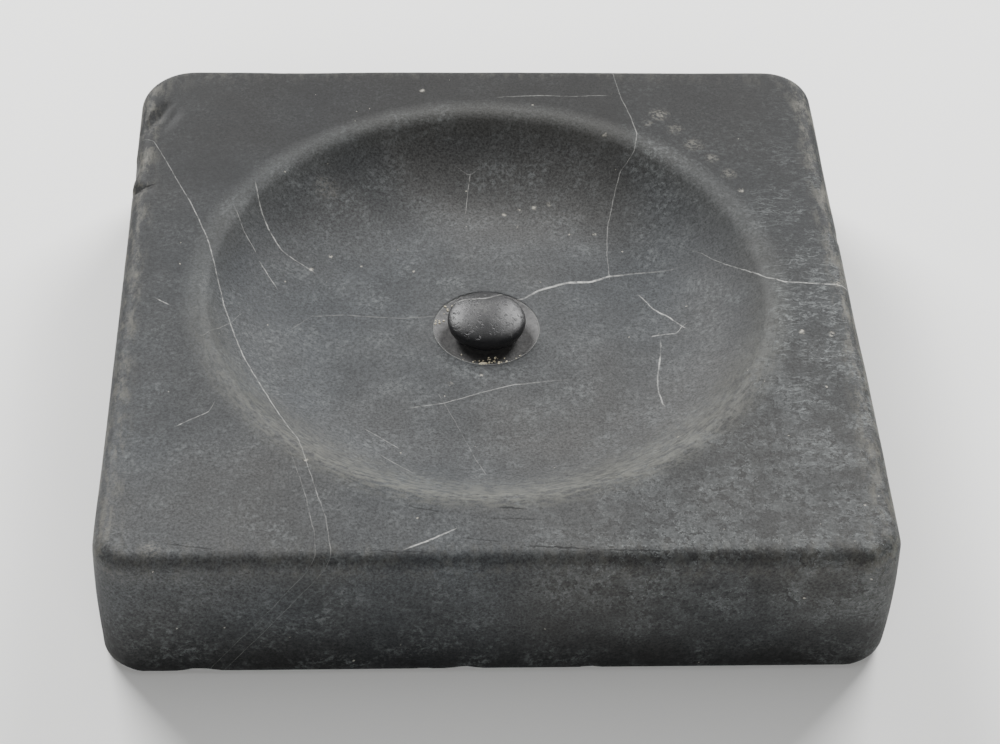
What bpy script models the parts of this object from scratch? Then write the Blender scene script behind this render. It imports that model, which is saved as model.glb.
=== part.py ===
"""Basalt massage stone: a square slab of dark stone with a round dish ground into its top, and a
domed massage knob whose stem is bedded in a blind socket at the middle of the dish.

Metres, +Z up. The origin is the middle of the base, and the front is at -Y.
"""

import math

import bmesh
import bpy

# Slab
SLAB_WIDTH = 0.100  # along X
SLAB_DEPTH = 0.100  # along Y
SLAB_HEIGHT = 0.021
BACK_CORNER_RADIUS = 0.0065  # upright corners, seen in plan
FRONT_CORNER_RADIUS = 0.0045
TOP_ARRIS_RADIUS = 0.0025
BASE_ARRIS_RADIUS = 0.0012

# Dish in the top of the slab
DISH_RIM_RADIUS = 0.040
DISH_FLOOR_RADIUS = 0.021  # the level floor ends here and the wall begins to rise
DISH_DEPTH = 0.0075
DISH_LIP_RADIUS = 0.0034

# Blind socket under the middle of the dish
SOCKET_RADIUS = 0.0073
SOCKET_DEPTH = 0.0050  # below the dish floor

# Knob
KNOB_RADIUS = 0.0056  # at its widest
KNOB_RISE = 0.0031  # crown above the dish floor
KNOB_WAIST_RISE = 0.0012  # widest level above the dish floor
KNOB_FLATNESS = 2.0  # exponent of the dome's curve: 2 is an ellipse, more is flatter on top
STEM_RADIUS = 0.0040
STEM_CHAMFER = 0.0005

# Bedding round the stem, with a hollow top that leaves a moat round the knob
MOAT_DEPTH = 0.0006

# Fits
FIT_GAP = 0.0003  # between pieces that touch
CUT_MARGIN = 0.0005  # how far a cutter stands above the surface that it cuts

# Facets
ROUND_STEPS = 72
SMALL_STEPS = 48
ARC_STEPS = 6

DISH_FLOOR_Z = SLAB_HEIGHT - DISH_DEPTH
SOCKET_FLOOR_Z = DISH_FLOOR_Z - SOCKET_DEPTH


def clear_scene():
    for obj in list(bpy.data.objects):
        bpy.data.objects.remove(obj, do_unlink=True)


def new_collection(name):
    collection = bpy.data.collections.new(name)
    bpy.context.scene.collection.children.link(collection)
    return collection


def new_material(name, color, roughness):
    material = bpy.data.materials.new(name)
    material.use_nodes = True
    shader = material.node_tree.nodes["Principled BSDF"]
    shader.inputs["Base Color"].default_value = (*color, 1.0)
    shader.inputs["Roughness"].default_value = roughness
    shader.inputs["Metallic"].default_value = 0.0
    material.diffuse_color = (*color, 1.0)
    return material


def new_object(name, mesh, collection, material=None):
    obj = bpy.data.objects.new(name, mesh)
    collection.objects.link(obj)
    if material:
        mesh.materials.append(material)
    return obj


def turned(name, profile, steps, collection, material=None, closed=False):
    """A solid of revolution about Z from (radius, height) points that run down its outer side."""
    mesh = bpy.data.meshes.new(name)
    bm = bmesh.new()
    verts = [bm.verts.new((radius, 0.0, height)) for radius, height in profile]
    for upper, lower in zip(verts, verts[1:]):
        bm.edges.new((upper, lower))
    if closed:
        bm.edges.new((verts[-1], verts[0]))
    bm.to_mesh(mesh)
    bm.free()
    obj = new_object(name, mesh, collection, material)
    screw = obj.modifiers.new("Turn", "SCREW")
    screw.axis = "Z"
    screw.angle = math.tau
    screw.steps = steps
    screw.render_steps = steps
    screw.use_merge_vertices = True
    screw.merge_threshold = 0.00001
    screw.use_smooth_shade = True
    return obj


def upright_edges(bm, side):
    """The slab's two upright edges on one side: -1 is the front and +1 the back."""
    return [
        edge
        for edge in bm.edges
        if all(vert.co.y * side > 0 for vert in edge.verts)
        and abs(edge.verts[0].co.z - edge.verts[1].co.z) > SLAB_HEIGHT / 2
    ]


def level_edges(bm, height):
    """The edges of the outline at one height."""
    return [
        edge
        for edge in bm.edges
        if all(abs(vert.co.z - height) < CUT_MARGIN / 10 for vert in edge.verts)
    ]


def round_edges(bm, edges, radius, segments):
    bmesh.ops.bevel(
        bm,
        geom=edges,
        offset=radius,
        offset_type="OFFSET",
        segments=segments,
        profile=0.5,
        affect="EDGES",
        clamp_overlap=True,
    )


def slab_mesh():
    """The slab before its dish: a box with rounded corners and softened arrises."""
    bm = bmesh.new()
    bmesh.ops.create_cube(bm, size=1.0)
    bmesh.ops.scale(bm, vec=(SLAB_WIDTH, SLAB_DEPTH, SLAB_HEIGHT), verts=bm.verts)
    bmesh.ops.translate(bm, vec=(0.0, 0.0, SLAB_HEIGHT / 2), verts=bm.verts)
    round_edges(bm, upright_edges(bm, 1), BACK_CORNER_RADIUS, ARC_STEPS)
    round_edges(bm, upright_edges(bm, -1), FRONT_CORNER_RADIUS, ARC_STEPS)
    round_edges(bm, level_edges(bm, SLAB_HEIGHT), TOP_ARRIS_RADIUS, ARC_STEPS)
    round_edges(bm, level_edges(bm, 0.0), BASE_ARRIS_RADIUS, ARC_STEPS // 2)
    mesh = bpy.data.meshes.new("stone_block")
    bm.to_mesh(mesh)
    bm.free()
    mesh.shade_smooth()
    return mesh


def dish_wall_profile():
    """The dish's wall from its rim to its floor: a rounded lip that runs smoothly into a hollow.

    The two arcs share a tangent, so the rim, the floor's edge and the depth set their slope and
    the hollow's radius.
    """
    run = DISH_RIM_RADIUS - DISH_FLOOR_RADIUS
    slope = 2 * math.atan2(DISH_DEPTH, run)
    hollow_radius = run / math.sin(slope) - DISH_LIP_RADIUS
    points = []
    for step in range(ARC_STEPS + 1):
        angle = slope * step / ARC_STEPS
        points.append((
            DISH_RIM_RADIUS - DISH_LIP_RADIUS * math.sin(angle),
            SLAB_HEIGHT - DISH_LIP_RADIUS * (1 - math.cos(angle)),
        ))
    hollow_steps = 2 * ARC_STEPS
    for step in range(1, hollow_steps + 1):
        angle = slope * (1 - step / hollow_steps)
        points.append((
            DISH_FLOOR_RADIUS + hollow_radius * math.sin(angle),
            DISH_FLOOR_Z + hollow_radius * (1 - math.cos(angle)),
        ))
    return points


def dish_cutter_profile():
    """Everything ground out of the slab: the dish, and the socket under its middle."""
    wall = dish_wall_profile()
    rim, inside_rim = wall[0], wall[1]
    outward = CUT_MARGIN * (rim[0] - inside_rim[0]) / (rim[1] - inside_rim[1])
    above = SLAB_HEIGHT + CUT_MARGIN
    return [
        (0.0, above),
        (DISH_RIM_RADIUS + outward, above),
        *wall[1:],
        (SOCKET_RADIUS, DISH_FLOOR_Z),
        (SOCKET_RADIUS, SOCKET_FLOOR_Z),
        (0.0, SOCKET_FLOOR_Z),
    ]


def knob_profile():
    """Crown, widest level, tucked-in neck and stem, from the top of the axis to its bottom."""
    waist_z = DISH_FLOOR_Z + KNOB_WAIST_RISE
    crown_z = DISH_FLOOR_Z + KNOB_RISE
    neck_z = DISH_FLOOR_Z - MOAT_DEPTH / 2
    foot_z = SOCKET_FLOOR_Z + FIT_GAP
    dome_steps = 2 * ARC_STEPS
    points = [(0.0, crown_z)]
    for step in range(1, dome_steps + 1):
        angle = math.pi / 2 * (1 - step / dome_steps)
        points.append((
            KNOB_RADIUS * math.cos(angle) ** (2 / KNOB_FLATNESS),
            waist_z + (crown_z - waist_z) * math.sin(angle) ** (2 / KNOB_FLATNESS),
        ))
    for step in range(1, ARC_STEPS + 1):
        angle = math.pi / 2 * step / ARC_STEPS
        points.append((
            STEM_RADIUS + (KNOB_RADIUS - STEM_RADIUS) * math.cos(angle),
            waist_z + (neck_z - waist_z) * math.sin(angle),
        ))
    points += [
        (STEM_RADIUS, foot_z + STEM_CHAMFER),
        (STEM_RADIUS - STEM_CHAMFER, foot_z),
        (0.0, foot_z),
    ]
    return points


def bedding_profile():
    """The ring of bedding between the stem and the socket, hollowed on top."""
    outer = SOCKET_RADIUS - FIT_GAP
    inner = STEM_RADIUS + FIT_GAP
    foot_z = SOCKET_FLOOR_Z + FIT_GAP
    points = [(outer, DISH_FLOOR_Z), (outer, foot_z), (inner, foot_z)]
    for step in range(ARC_STEPS):
        share = step / ARC_STEPS
        points.append((
            inner + (outer - inner) * share,
            DISH_FLOOR_Z - MOAT_DEPTH * (1 - share**2),
        ))
    return points


def cut(target, cutter):
    boolean = target.modifiers.new("Cut", "BOOLEAN")
    boolean.operation = "DIFFERENCE"
    boolean.solver = "EXACT"
    boolean.object = cutter


def build_slab(parts, cutters):
    basalt = new_material("honed basalt", (0.105, 0.108, 0.112), 0.62)
    slab = new_object("stone_block", slab_mesh(), parts, basalt)
    cutter = turned("dish_cutter", dish_cutter_profile(), ROUND_STEPS, cutters)
    cutter.hide_render = True
    cutter.display_type = "WIRE"
    cut(slab, cutter)


def build_knob(parts):
    polished = new_material("polished basalt", (0.035, 0.036, 0.038), 0.30)
    turned("massage_knob", knob_profile(), SMALL_STEPS, parts, polished)


def build_bedding(parts):
    grit = new_material("stone-grit bedding", (0.085, 0.084, 0.080), 0.75)
    turned("bedding_ring", bedding_profile(), SMALL_STEPS, parts, grit, closed=True)


def main():
    clear_scene()
    parts = new_collection("basalt_massage_stone")
    cutters = new_collection("cutters")
    build_slab(parts, cutters)
    build_knob(parts)
    build_bedding(parts)


main()
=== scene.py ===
import math

import bpy
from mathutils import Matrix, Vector


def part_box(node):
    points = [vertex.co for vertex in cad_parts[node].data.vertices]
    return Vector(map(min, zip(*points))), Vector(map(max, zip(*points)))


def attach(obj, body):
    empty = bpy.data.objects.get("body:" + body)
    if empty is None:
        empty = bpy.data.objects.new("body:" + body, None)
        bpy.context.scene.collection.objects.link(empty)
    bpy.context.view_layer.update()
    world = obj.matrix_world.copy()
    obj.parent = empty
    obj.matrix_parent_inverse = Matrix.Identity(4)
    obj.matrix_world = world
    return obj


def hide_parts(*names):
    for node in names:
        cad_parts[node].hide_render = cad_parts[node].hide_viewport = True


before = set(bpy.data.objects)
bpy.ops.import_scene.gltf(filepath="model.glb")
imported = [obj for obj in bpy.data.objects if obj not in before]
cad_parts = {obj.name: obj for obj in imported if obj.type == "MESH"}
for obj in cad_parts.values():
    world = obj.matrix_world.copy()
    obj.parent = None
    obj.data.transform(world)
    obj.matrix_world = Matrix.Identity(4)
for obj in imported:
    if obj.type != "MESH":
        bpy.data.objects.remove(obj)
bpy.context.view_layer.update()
mm = 0.001
slabLow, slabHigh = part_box("stone_block")
knobLow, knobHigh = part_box("massage_knob")
beddingLow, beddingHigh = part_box("bedding_ring")
# kinds of node that are used again and again
maths, vectors = "ShaderNodeMath", "ShaderNodeVectorMath"
splitPlace, joinPlace = "ShaderNodeSeparateXYZ", "ShaderNodeCombineXYZ"
mapRange, mixer, noise = "ShaderNodeMapRange", "ShaderNodeMix", "ShaderNodeTexNoise"


def hexColor(code):  # sRGB hex to the linear colour that a shader takes
    parts = [int(code[place:place + 2], 16) / 255 for place in (1, 3, 5)]
    linear = [part / 12.92 if part <= 0.04045 else ((part + 0.055) / 1.055) ** 2.4 for part in parts]
    return (*linear, 1.0)


def putNode(tree, kind, feeds=(), **settings):  # one node, its settings and what feeds its inputs
    node = tree.nodes.new(kind)
    for name, value in settings.items():
        setattr(node, name, value)
    pairs = feeds.items() if isinstance(feeds, dict) else enumerate(feeds)
    for place, feed in pairs:
        if isinstance(feed, bpy.types.Node):
            feed = next(socket for socket in feed.outputs if socket.enabled)
        if isinstance(feed, bpy.types.NodeSocket):
            tree.links.new(feed, node.inputs[place])
        elif feed is not None:
            node.inputs[place].default_value = feed
    return node


def shapeTree(name, sizes):  # an empty tree with one named input for each size
    tree = bpy.data.node_groups.new(name, "GeometryNodeTree")
    for label, value in sizes.items():
        kind = "NodeSocketInt" if isinstance(value, int) else "NodeSocketFloat"
        tree.interface.new_socket(label, in_out="INPUT", socket_type=kind)
    tree.interface.new_socket("Geometry", in_out="OUTPUT", socket_type="NodeSocketGeometry")
    return tree, tree.nodes.new("NodeGroupInput").outputs


def finishTree(tree, shape, material):  # what every tree ends in
    real = putNode(tree, "GeometryNodeRealizeInstances", [shape])
    dressed = putNode(tree, "GeometryNodeSetMaterial", {0: real, 2: material})
    putNode(tree, "NodeGroupOutput", [dressed])


def growPiece(name, tree, sizes):  # runs a tree on an empty mesh and keeps the result as a plain mesh
    seed = bpy.data.objects.new(name + "Seed", bpy.data.meshes.new(name + "Seed"))
    bpy.context.scene.collection.objects.link(seed)
    modifier = seed.modifiers.new("Shape", "NODES")
    modifier.node_group = tree
    for item in tree.interface.items_tree:
        if item.in_out == "INPUT":
            modifier[item.identifier] = sizes[item.name]
    seed.update_tag()
    view = bpy.context.evaluated_depsgraph_get()
    mesh = bpy.data.meshes.new_from_object(seed.evaluated_get(view), depsgraph=view)
    seed.modifiers.remove(modifier)
    bpy.data.objects.remove(seed)
    mesh.name = name
    piece = bpy.data.objects.new(name, mesh)
    bpy.context.scene.collection.objects.link(piece)
    print(name, "has", len(mesh.polygons), "faces")
    return piece


def ringGrid(tree, around, ringRuns):
    # a flat grid whose columns go round the piece and whose rows follow its section; gives the grid,
    # the turn from 0 to 1, and how far each row is along each stretch, from 0 to 1
    ringCount = sum(ringRuns.values())
    columns = putNode(tree, maths, [around, 1.0], operation="ADD")
    grid = putNode(tree, "GeometryNodeMeshGrid", [1.0, 1.0, columns, ringCount + 1])
    gridPlace = putNode(tree, splitPlace, [putNode(tree, "GeometryNodeInputPosition")])
    turn = putNode(tree, maths, [gridPlace.outputs["X"], 0.5], operation="ADD")
    ring = putNode(
        tree, maths, [gridPlace.outputs["Y"], ringCount, ringCount / 2], operation="MULTIPLY_ADD")
    share, first = {}, 0
    for stretch, count in ringRuns.items():
        share[stretch] = putNode(tree, mapRange, [ring, first, first + count, 0.0, 1.0])
        first += count
    return grid.outputs["Mesh"], turn, share


def turnedSurface(tree, turn, radius, height):  # places on a round piece
    angle = putNode(tree, maths, [turn, math.tau], operation="MULTIPLY")
    cosine = putNode(tree, maths, [angle], operation="COSINE")
    sine = putNode(tree, maths, [angle], operation="SINE")
    x = putNode(tree, maths, [radius, cosine], operation="MULTIPLY")
    y = putNode(tree, maths, [radius, sine], operation="MULTIPLY")
    return putNode(tree, joinPlace, [x, y, height])


def closeSurface(tree, grid, surface):  # puts the grid's points in place and joins its seam and poles
    shape = putNode(tree, "GeometryNodeSetPosition", {"Geometry": grid, "Position": surface})
    shape = putNode(tree, "GeometryNodeMergeByDistance", {"Geometry": shape, "Distance": 0.003 * mm})
    # the rows run inwards, so the faces are turned out
    return putNode(tree, "GeometryNodeFlipFaces", [shape])


slabSizes = {  # the block, its dish and the socket under the dish
    "width": slabHigh.x - slabLow.x,
    "depth": slabHigh.y - slabLow.y,
    "height": slabHigh.z - slabLow.z,
    "backLeftCorner": 7.8 * mm,
    "backRightCorner": 6.6 * mm,
    "frontLeftCorner": 5.0 * mm,
    "frontRightCorner": 4.8 * mm,
    "topArris": 2.2 * mm,
    "baseArris": 1.2 * mm,
    "baseCornerArris": 0.9 * mm,  # how much rounder the base is at its corners
    "rimRadius": 40.0 * mm,
    "floorRadius": 21.0 * mm,
    "dishDepth": 7.5 * mm,
    "lipRadius": 3.4 * mm,
    # the bedding ring fills the socket, which the CAD leaves 0.3 mm clear
    "seamRadius": beddingHigh.x + 0.3 * mm,
    "socketDepth": beddingHigh.z - beddingLow.z + 0.3 * mm,
    "sideBow": 0.25 * mm,
    "handWave": 0.30 * mm,  # how far hand grinding leaves the faces from flat
    "around": 540,  # faces round the piece
}
# rings of faces along each stretch of the section, from the middle of the socket to the middle of the base
slabRuns = {
    "socketFloor": 2, "socketWall": 3, "dishFloor": 30, "hollow": 46, "lip": 10,
    "top": 34, "topArris": 9, "side": 30, "baseArris": 4, "base": 14,
}
knocks = [  # bruises on the arrises: middle, half lengths and depth in mm, turn in degrees
    ((-47.6, 37.6, 21.4), (1.3, 5.2, 3.0), 0.75, 30.0),
    ((-45.6, 37.4, 21.4), (1.6, 4.2, 1.6), 0.45, 25.0),
    ((-49.2, 21.7, 20.4), (3.4, 0.8, 2.4), 0.60, 14.0),
    ((-49.9, 27.0, 19.5), (1.6, 3.4, 2.4), 0.30, 0.0),
    ((-37.5, -50.0, 0.3), (3.0, 1.3, 0.9), 0.50, 0.0),
    ((-4.0, -50.0, 0.2), (2.4, 1.2, 0.8), 0.55, 0.0),
    ((-9.0, -50.0, 0.1), (1.2, 1.0, 0.6), 0.35, 0.0),
    ((12.0, -50.0, 0.2), (1.6, 1.2, 0.7), 0.30, 0.0),
    ((48.0, -48.0, 19.6), (2.6, 2.6, 2.4), 0.35, 0.0),
    ((50.0, 12.0, 20.0), (1.2, 1.8, 1.4), 0.25, 0.0),
    ((49.6, -21.0, 20.4), (1.2, 1.2, 1.2), 0.22, 0.0),
    ((22.0, 50.0, 0.4), (3.0, 1.4, 1.0), 0.45, 0.0),
    ((-30.0, 50.0, 20.2), (1.4, 1.2, 1.2), 0.25, 0.0),
]


def cornerRounding(tree, size, place):  # the radius of the upright corner nearest a place
    part = putNode(tree, splitPlace, [place])
    front = putNode(
        tree, mapRange, [part.outputs["X"], -mm, mm, size["frontLeftCorner"], size["frontRightCorner"]])
    back = putNode(
        tree, mapRange, [part.outputs["X"], -mm, mm, size["backLeftCorner"], size["backRightCorner"]])
    return putNode(tree, mapRange, [part.outputs["Y"], -mm, mm, front, back])


def slabTree(sizes, material):
    tree, size = shapeTree("dishedSlab", sizes)
    grid, turn, share = ringGrid(tree, size["around"], slabRuns)

    # plan outline: a rectangle with rounded corners, walked at an even pace
    place = putNode(tree, "GeometryNodeInputPosition")
    outline = putNode(tree, "GeometryNodeCurvePrimitiveQuadrilateral", [size["width"], size["depth"]])
    rounding = cornerRounding(tree, size, place)
    outline = putNode(
        tree, "GeometryNodeFilletCurve", {"Curve": outline, "Count": 12, "Radius": rounding}, mode="POLY")
    walk = putNode(
        tree, "GeometryNodeSampleCurve", {"Curves": outline, "Factor": turn}, mode="FACTOR",
        use_all_curves=True)
    walk = walk.outputs["Position"]
    edge = putNode(tree, splitPlace, [walk])
    rounding = cornerRounding(tree, size, walk)
    middle = []
    # the nearest point of the outline shrunk by its corners
    for axis, across in (("X", "width"), ("Y", "depth")):
        reach = putNode(tree, maths, [size[across], 0.5], operation="MULTIPLY")
        reach = putNode(tree, maths, [reach, rounding], operation="SUBTRACT")
        back = putNode(tree, maths, [reach, -1.0], operation="MULTIPLY")
        low = putNode(tree, maths, [edge.outputs[axis], back], operation="MAXIMUM")
        middle.append(putNode(tree, maths, [low, reach], operation="MINIMUM"))
    middle = putNode(tree, joinPlace, middle)
    outward = putNode(tree, vectors, [walk, middle], operation="SUBTRACT")
    outward = putNode(tree, vectors, [outward], operation="NORMALIZE")
    toEdge = putNode(tree, vectors, [walk], operation="NORMALIZE")
    outwardPart = putNode(tree, splitPlace, [outward])
    cornerness = putNode(
        tree, maths, [outwardPart.outputs["X"], outwardPart.outputs["Y"]], operation="MULTIPLY")
    cornerness = putNode(tree, maths, [cornerness], operation="ABSOLUTE")
    cornerness = putNode(tree, maths, [cornerness, 2.0], operation="MULTIPLY")

    # section of the dish: a hollow arc and a lip arc that share a tangent
    run = putNode(tree, maths, [size["rimRadius"], size["floorRadius"]], operation="SUBTRACT")
    slope = putNode(tree, maths, [size["dishDepth"], run], operation="ARCTAN2")
    slope = putNode(tree, maths, [slope, 2.0], operation="MULTIPLY")
    slopeSine = putNode(tree, maths, [slope], operation="SINE")
    slopeCosine = putNode(tree, maths, [slope], operation="COSINE")
    hollow = putNode(tree, maths, [run, slopeSine], operation="DIVIDE")
    hollow = putNode(tree, maths, [hollow, size["lipRadius"]], operation="SUBTRACT")
    hollowTurn = putNode(tree, maths, [slope, share["hollow"]], operation="MULTIPLY")
    hollowSine = putNode(tree, maths, [hollowTurn], operation="SINE")
    hollowCosine = putNode(tree, maths, [hollowTurn], operation="COSINE")
    lipLeft = putNode(tree, maths, [1.0, share["lip"]], operation="SUBTRACT")
    lipTurn = putNode(tree, maths, [slope, lipLeft], operation="MULTIPLY")
    lipSine = putNode(tree, maths, [lipTurn], operation="SINE")
    lipCosine = putNode(tree, maths, [lipTurn], operation="COSINE")
    radius = putNode(tree, maths, [size["seamRadius"], share["socketFloor"]], operation="MULTIPLY")
    floorRun = putNode(tree, maths, [size["floorRadius"], size["seamRadius"]], operation="SUBTRACT")
    radius = putNode(tree, maths, [floorRun, share["dishFloor"], radius], operation="MULTIPLY_ADD")
    radius = putNode(tree, maths, [hollow, hollowSine, radius], operation="MULTIPLY_ADD")
    lipRun = putNode(tree, maths, [slopeSine, lipSine], operation="SUBTRACT")
    radius = putNode(tree, maths, [size["lipRadius"], lipRun, radius], operation="MULTIPLY_ADD")
    hollowRise = putNode(tree, maths, [1.0, hollowCosine], operation="SUBTRACT")
    lipRise = putNode(tree, maths, [lipCosine, slopeCosine], operation="SUBTRACT")
    height = putNode(tree, maths, [size["height"], size["dishDepth"]], operation="SUBTRACT")
    height = putNode(tree, maths, [height, size["socketDepth"]], operation="SUBTRACT")
    height = putNode(
        tree, maths, [size["socketDepth"], share["socketWall"], height], operation="MULTIPLY_ADD")
    height = putNode(tree, maths, [hollow, hollowRise, height], operation="MULTIPLY_ADD")
    height = putNode(tree, maths, [size["lipRadius"], lipRise, height], operation="MULTIPLY_ADD")

    # from the round rim to the square outline, over the arris, down the side and under the base
    baseArris = putNode(
        tree, maths, [size["baseCornerArris"], cornerness, size["baseArris"]], operation="MULTIPLY_ADD")
    topTurn = putNode(tree, maths, [share["topArris"], math.pi / 2], operation="MULTIPLY")
    topSine = putNode(tree, maths, [topTurn], operation="SINE")
    topCosine = putNode(tree, maths, [topTurn], operation="COSINE")
    topDrop = putNode(tree, maths, [1.0, topCosine], operation="SUBTRACT")
    baseTurn = putNode(tree, maths, [share["baseArris"], math.pi / 2], operation="MULTIPLY")
    baseSine = putNode(tree, maths, [baseTurn], operation="SINE")
    baseCosine = putNode(tree, maths, [baseTurn], operation="COSINE")
    baseIn = putNode(tree, maths, [1.0, baseCosine], operation="SUBTRACT")
    sideTurn = putNode(tree, maths, [share["side"], math.pi], operation="MULTIPLY")
    bow = putNode(tree, maths, [sideTurn], operation="SINE")
    outset = putNode(tree, maths, [topSine, 1.0], operation="SUBTRACT")
    outset = putNode(tree, maths, [size["topArris"], outset], operation="MULTIPLY")
    baseInset = putNode(tree, maths, [baseArris, baseIn], operation="MULTIPLY")
    outset = putNode(tree, maths, [outset, baseInset], operation="SUBTRACT")
    outset = putNode(tree, maths, [size["sideBow"], bow, outset], operation="MULTIPLY_ADD")
    inDish = putNode(tree, vectors, {0: toEdge, 3: radius}, operation="SCALE")
    atEdge = putNode(tree, vectors, {0: outward, 3: outset}, operation="SCALE")
    atEdge = putNode(tree, vectors, [atEdge, walk], operation="ADD")
    plan = putNode(tree, mixer, {0: share["top"], 4: inDish, 5: atEdge}, data_type="VECTOR")
    baseLeft = putNode(tree, maths, [1.0, share["base"]], operation="SUBTRACT")
    plan = putNode(tree, vectors, {0: plan, 3: baseLeft}, operation="SCALE")
    topFall = putNode(tree, maths, [size["topArris"], topDrop], operation="MULTIPLY")
    height = putNode(tree, maths, [height, topFall], operation="SUBTRACT")
    sideRun = putNode(tree, maths, [size["height"], size["topArris"]], operation="SUBTRACT")
    sideRun = putNode(tree, maths, [sideRun, baseArris], operation="SUBTRACT")
    sideFall = putNode(tree, maths, [sideRun, share["side"]], operation="MULTIPLY")
    height = putNode(tree, maths, [height, sideFall], operation="SUBTRACT")
    baseFall = putNode(tree, maths, [baseArris, baseSine], operation="MULTIPLY")
    height = putNode(tree, maths, [height, baseFall], operation="SUBTRACT")
    up = putNode(tree, joinPlace, [0.0, 0.0, height])
    surface = putNode(tree, vectors, [plan, up], operation="ADD")
    # the band over the top arris that carries the scuffs and a painted highlight
    rubAndHighlightRise = putNode(tree, mapRange, [share["top"], 0.84, 1.0, 0.0, 1.0])
    rubAndHighlightFall = putNode(tree, mapRange, [share["side"], 0.0, 0.12, 1.0, 0.0])
    rubAndHighlight = putNode(tree, maths, [rubAndHighlightRise, rubAndHighlightFall], operation="MULTIPLY")
    grid = putNode(
        tree, "GeometryNodeStoreNamedAttribute", {"Geometry": grid, "Name": "arrisWearAndHighlight", "Value": rubAndHighlight})
    shape = closeSurface(tree, grid, surface)
    shape = handGround(tree, size, shape)
    shape = putNode(tree, "GeometryNodeSetShadeSmooth", [shape])
    finishTree(tree, shape, material)
    return tree


def handGround(tree, size, shape):  # slow waves of hand grinding, and the bruises along the arrises
    place = putNode(tree, "GeometryNodeInputPosition")
    normal = putNode(tree, "GeometryNodeInputNormal")
    part = putNode(tree, splitPlace, [place])
    flat = putNode(tree, vectors, [place, (1.0, 1.0, 0.0)], operation="MULTIPLY")
    fromAxis = putNode(tree, vectors, [flat], operation="LENGTH")
    aboveBase = putNode(tree, mapRange, [part.outputs["Z"], 0.2 * mm, 3.0 * mm, 0.0, 1.0])
    offSeam = putNode(tree, mapRange, [fromAxis.outputs["Value"], 8.0 * mm, 14.0 * mm, 0.0, 1.0])
    mask = putNode(tree, maths, [aboveBase, offSeam], operation="MULTIPLY")
    total = 0.0
    for span, share in ((38.0, 1.0), (13.0, 0.28), (4.0, 0.07)):  # wave lengths in mm
        wave = putNode(tree, noise, {"Vector": place, "Scale": 1 / (span * mm), "Detail": 1.0})
        wave = putNode(tree, maths, [wave, 0.5], operation="SUBTRACT")
        total = putNode(tree, maths, [wave, share, total], operation="MULTIPLY_ADD")
    for factor in (2.0, size["handWave"], mask):
        total = putNode(tree, maths, [total, factor], operation="MULTIPLY")
    ragged = putNode(tree, noise, {"Vector": place, "Scale": 1 / (1.6 * mm), "Detail": 3.0})
    ragged = putNode(tree, maths, [ragged, 0.5], operation="SUBTRACT")
    for middle, halves, depth, turn in knocks:
        away = putNode(tree, vectors, [place, [-value * mm for value in middle]], operation="ADD")
        away = putNode(tree, "ShaderNodeVectorRotate", {"Vector": away, "Angle": math.radians(turn)})
        away = putNode(tree, vectors, [away, [1 / (value * mm) for value in halves]], operation="MULTIPLY")
        far = putNode(tree, vectors, [away], operation="LENGTH").outputs["Value"]
        far = putNode(tree, maths, [ragged, 0.35, far], operation="MULTIPLY_ADD")
        dent = putNode(tree, mapRange, [far, 0.25, 1.0, depth * mm, 0.0], interpolation_type="SMOOTHSTEP")
        total = putNode(tree, maths, [total, dent], operation="SUBTRACT")
    nudge = putNode(tree, vectors, {0: normal, 3: total}, operation="SCALE")
    return putNode(tree, "GeometryNodeSetPosition", {"Geometry": shape, "Offset": nudge})


dishFloorZ = slabHigh.z - slabSizes["dishDepth"]
knobSizes = {
    "radius": knobHigh.x - 0.2 * mm,  # a shade slimmer than the plain one, for its rubbed waves
    "crown": knobHigh.z,
    "waist": dishFloorZ + 1.6 * mm,  # its widest level
    "neck": dishFloorZ - 0.3 * mm,
    "foot": knobLow.z,
    "stem": 3.7 * mm,  # radius
    "flatness": 2.0,  # 2 is an ellipse, more is flatter on top
    "handWave": 0.25 * mm,
    "around": 220,
}
knobRuns = {"dome": 90, "tuck": 16, "stem": 6, "foot": 3}


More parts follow.
